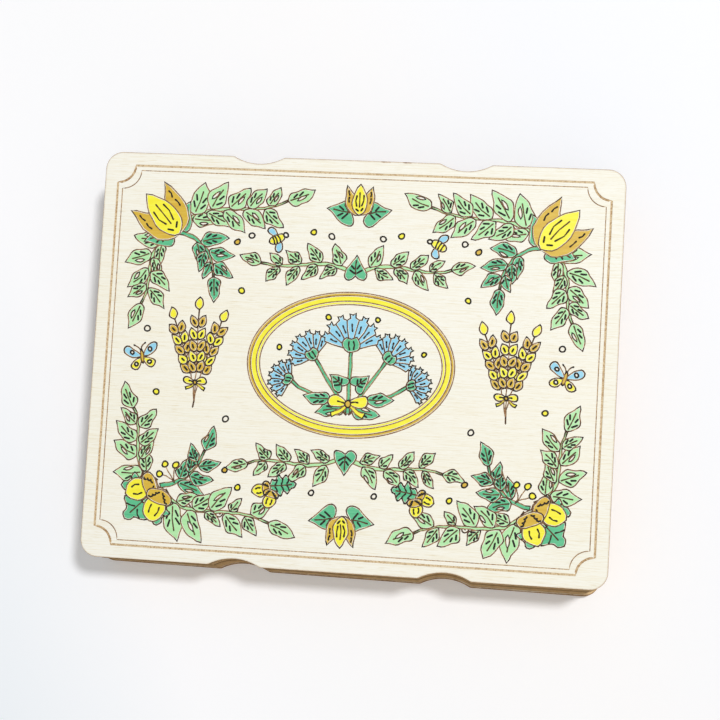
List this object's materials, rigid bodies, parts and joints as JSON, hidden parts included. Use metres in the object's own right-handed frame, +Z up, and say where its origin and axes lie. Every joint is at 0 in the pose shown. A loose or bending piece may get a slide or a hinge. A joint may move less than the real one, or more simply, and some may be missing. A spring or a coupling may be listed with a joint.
{
  "type": "flower press",
  "caption": "Flat rectangular flower press: two notched plywood boards over a loose pile of corrugated card and blotting paper, with strap seats in both long edges.",
  "frame": {"origin": "on the underside, below the middle of the pile's bounding box", "axes": "+X along the long edges, +Y towards the back edge, +Z up through the layers"},
  "size_m": [0.1796, 0.1448, 0.024],
  "materials": {
    "birch_plywood": "satin",
    "corrugated_card": "matte",
    "blotting_paper": "matte"
  },
  "bodies": {
    "bottom_board": {"bottom_board": "birch_plywood"},
    "card_sheet_1": {"card_sheet_1": "corrugated_card"},
    "blotting_paper_1": {"blotting_paper_1": "blotting_paper"},
    "blotting_paper_2": {"blotting_paper_2": "blotting_paper"},
    "card_sheet_2": {"card_sheet_2": "corrugated_card"},
    "blotting_paper_3": {"blotting_paper_3": "blotting_paper"},
    "blotting_paper_4": {"blotting_paper_4": "blotting_paper"},
    "card_sheet_3": {"card_sheet_3": "corrugated_card"},
    "blotting_paper_5": {"blotting_paper_5": "blotting_paper"},
    "blotting_paper_6": {"blotting_paper_6": "blotting_paper"},
    "card_sheet_4": {"card_sheet_4": "corrugated_card"},
    "blotting_paper_7": {"blotting_paper_7": "blotting_paper"},
    "blotting_paper_8": {"blotting_paper_8": "blotting_paper"},
    "card_sheet_5": {"card_sheet_5": "corrugated_card"},
    "blotting_paper_9": {"blotting_paper_9": "blotting_paper"},
    "blotting_paper_10": {"blotting_paper_10": "blotting_paper"},
    "card_sheet_6": {"card_sheet_6": "corrugated_card"},
    "top_board": {"top_board": "birch_plywood"}
  },
  "joints": [
    {"name": "lift_card_sheet_1", "type": "slide", "parent": "bottom_board", "child": "card_sheet_1", "axis": [0, 0, 1], "range_m": [0, 0.03]},
    {"name": "lift_blotting_paper_1", "type": "slide", "parent": "card_sheet_1", "child": "blotting_paper_1", "axis": [0, 0, 1], "range_m": [0, 0.03]},
    {"name": "lift_blotting_paper_2", "type": "slide", "parent": "blotting_paper_1", "child": "blotting_paper_2", "axis": [0, 0, 1], "range_m": [0, 0.03]},
    {"name": "lift_card_sheet_2", "type": "slide", "parent": "blotting_paper_2", "child": "card_sheet_2", "axis": [0, 0, 1], "range_m": [0, 0.03]},
    {"name": "lift_blotting_paper_3", "type": "slide", "parent": "card_sheet_2", "child": "blotting_paper_3", "axis": [0, 0, 1], "range_m": [0, 0.03]},
    {"name": "lift_blotting_paper_4", "type": "slide", "parent": "blotting_paper_3", "child": "blotting_paper_4", "axis": [0, 0, 1], "range_m": [0, 0.03]},
    {"name": "lift_card_sheet_3", "type": "slide", "parent": "blotting_paper_4", "child": "card_sheet_3", "axis": [0, 0, 1], "range_m": [0, 0.03]},
    {"name": "lift_blotting_paper_5", "type": "slide", "parent": "card_sheet_3", "child": "blotting_paper_5", "axis": [0, 0, 1], "range_m": [0, 0.03]},
    {"name": "lift_blotting_paper_6", "type": "slide", "parent": "blotting_paper_5", "child": "blotting_paper_6", "axis": [0, 0, 1], "range_m": [0, 0.03]},
    {"name": "lift_card_sheet_4", "type": "slide", "parent": "blotting_paper_6", "child": "card_sheet_4", "axis": [0, 0, 1], "range_m": [0, 0.03]},
    {"name": "lift_blotting_paper_7", "type": "slide", "parent": "card_sheet_4", "child": "blotting_paper_7", "axis": [0, 0, 1], "range_m": [0, 0.03]},
    {"name": "lift_blotting_paper_8", "type": "slide", "parent": "blotting_paper_7", "child": "blotting_paper_8", "axis": [0, 0, 1], "range_m": [0, 0.03]},
    {"name": "lift_card_sheet_5", "type": "slide", "parent": "blotting_paper_8", "child": "card_sheet_5", "axis": [0, 0, 1], "range_m": [0, 0.03]},
    {"name": "lift_blotting_paper_9", "type": "slide", "parent": "card_sheet_5", "child": "blotting_paper_9", "axis": [0, 0, 1], "range_m": [0, 0.03]},
    {"name": "lift_blotting_paper_10", "type": "slide", "parent": "blotting_paper_9", "child": "blotting_paper_10", "axis": [0, 0, 1], "range_m": [0, 0.03]},
    {"name": "lift_card_sheet_6", "type": "slide", "parent": "blotting_paper_10", "child": "card_sheet_6", "axis": [0, 0, 1], "range_m": [0, 0.03]},
    {"name": "lift_top_board", "type": "slide", "parent": "card_sheet_6", "child": "top_board", "axis": [0, 0, 1], "range_m": [0, 0.03]}
  ]
}
